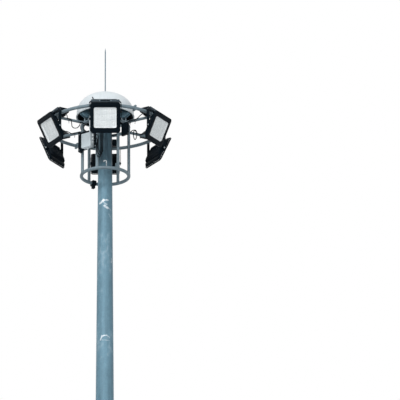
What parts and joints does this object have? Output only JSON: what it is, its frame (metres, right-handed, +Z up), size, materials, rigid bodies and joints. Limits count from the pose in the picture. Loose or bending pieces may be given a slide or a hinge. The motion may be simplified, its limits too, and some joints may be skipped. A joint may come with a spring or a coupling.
{
  "type": "high mast floodlight tower",
  "caption": "Tapered polygonal steel mast with a hoisted ring carriage of tilting floodlights under a domed head.",
  "frame": {"origin": "centre of the underside of the base flange, at ground level", "axes": "+Z up the pole; -Y towards the viewer of the picture, so the front lamp faces -Y"},
  "size_m": [2.2873, 2.3688, 21.355],
  "materials": {
    "galvanised_steel": "hot-dip galvanised, dull and mottled",
    "galvanised_tube": "hot-dip galvanised tube",
    "cast_sheaves": "machined rims",
    "steel_rope": "stranded",
    "dome_white": "white moulded, weathered",
    "rod_steel": "dull",
    "black_coating": "satin powder coat",
    "lamp_casting": "black powder-coated casting",
    "lamp_glass": "clear cover over white reflector trays",
    "cable_rubber": "black sheath",
    "box_grey": "moulded light grey"
  },
  "bodies": {
    "mast": {"base_flange": "galvanised_steel", "base_ribs": "galvanised_steel", "lower_section": "galvanised_steel", "door_frame": "galvanised_steel", "door_leaf": "galvanised_steel", "upper_section": "galvanised_steel", "head_frame": "galvanised_steel", "rope_sheaves": "cast_sheaves", "hoist_ropes": "steel_rope", "dome": "dome_white", "lightning_rod": "rod_steel"},
    "carriage": {"lamp_ring_1": "galvanised_tube", "lamp_ring_2": "galvanised_tube", "hub_ring": "galvanised_tube", "guide_ring": "galvanised_tube", "spokes": "galvanised_tube", "cage_posts": "galvanised_tube", "rope_sockets": "galvanised_tube", "station_plates": "galvanised_tube", "yoke_rails": "galvanised_tube", "yokes": "black_coating", "driver_boxes": "black_coating", "ring_clamp": "black_coating", "back_plate": "black_coating", "junction_box": "box_grey", "conduit": "box_grey", "cables": "cable_rubber", "relay_rails": "galvanised_tube", "relay_box": "black_coating"},
    "lamp_1": {"lamp_1_housing": "lamp_casting", "lamp_1_heat_sink": "lamp_casting", "lamp_1_glass": "lamp_glass"},
    "lamp_2": {"lamp_2_housing": "lamp_casting", "lamp_2_heat_sink": "lamp_casting", "lamp_2_glass": "lamp_glass"},
    "lamp_3": {"lamp_3_housing": "lamp_casting", "lamp_3_heat_sink": "lamp_casting", "lamp_3_glass": "lamp_glass"},
    "lamp_4": {"lamp_4_housing": "lamp_casting", "lamp_4_heat_sink": "lamp_casting", "lamp_4_glass": "lamp_glass"},
    "lamp_5": {"lamp_5_housing": "lamp_casting", "lamp_5_heat_sink": "lamp_casting", "lamp_5_glass": "lamp_glass"},
    "lamp_6": {"lamp_6_housing": "lamp_casting", "lamp_6_heat_sink": "lamp_casting", "lamp_6_glass": "lamp_glass"}
  },
  "joints": [
    {"name": "carriage_lift", "type": "slide", "parent": "mast", "child": "carriage", "axis": [0, 0, 1], "range_m": [-18, 0]},
    {"name": "lamp_1_tilt", "type": "hinge", "parent": "carriage", "child": "lamp_1", "pos_m": [0, -1.015, 19.63], "axis": [1, 0, 0], "range_deg": [-16, 62]},
    {"name": "lamp_2_tilt", "type": "hinge", "parent": "carriage", "child": "lamp_2", "pos_m": [0.86077, -0.53787, 19.63], "axis": [0.5299, 0.848, 0], "range_deg": [-13, 65]},
    {"name": "lamp_3_tilt", "type": "hinge", "parent": "carriage", "child": "lamp_3", "pos_m": [0.87902, 0.5075, 19.63], "axis": [-0.5, 0.866, 0], "range_deg": [-14, 64]},
    {"name": "lamp_4_tilt", "type": "hinge", "parent": "carriage", "child": "lamp_4", "pos_m": [0, 1.015, 19.63], "axis": [-1, 0, 0], "range_deg": [-14, 64]},
    {"name": "lamp_5_tilt", "type": "hinge", "parent": "carriage", "child": "lamp_5", "pos_m": [-0.87902, 0.5075, 19.63], "axis": [-0.5, -0.866, 0], "range_deg": [-12, 66]},
    {"name": "lamp_6_tilt", "type": "hinge", "parent": "carriage", "child": "lamp_6", "pos_m": [-0.88774, -0.49208, 19.63], "axis": [0.4848, -0.8746, 0], "range_deg": [-16, 62]}
  ]
}
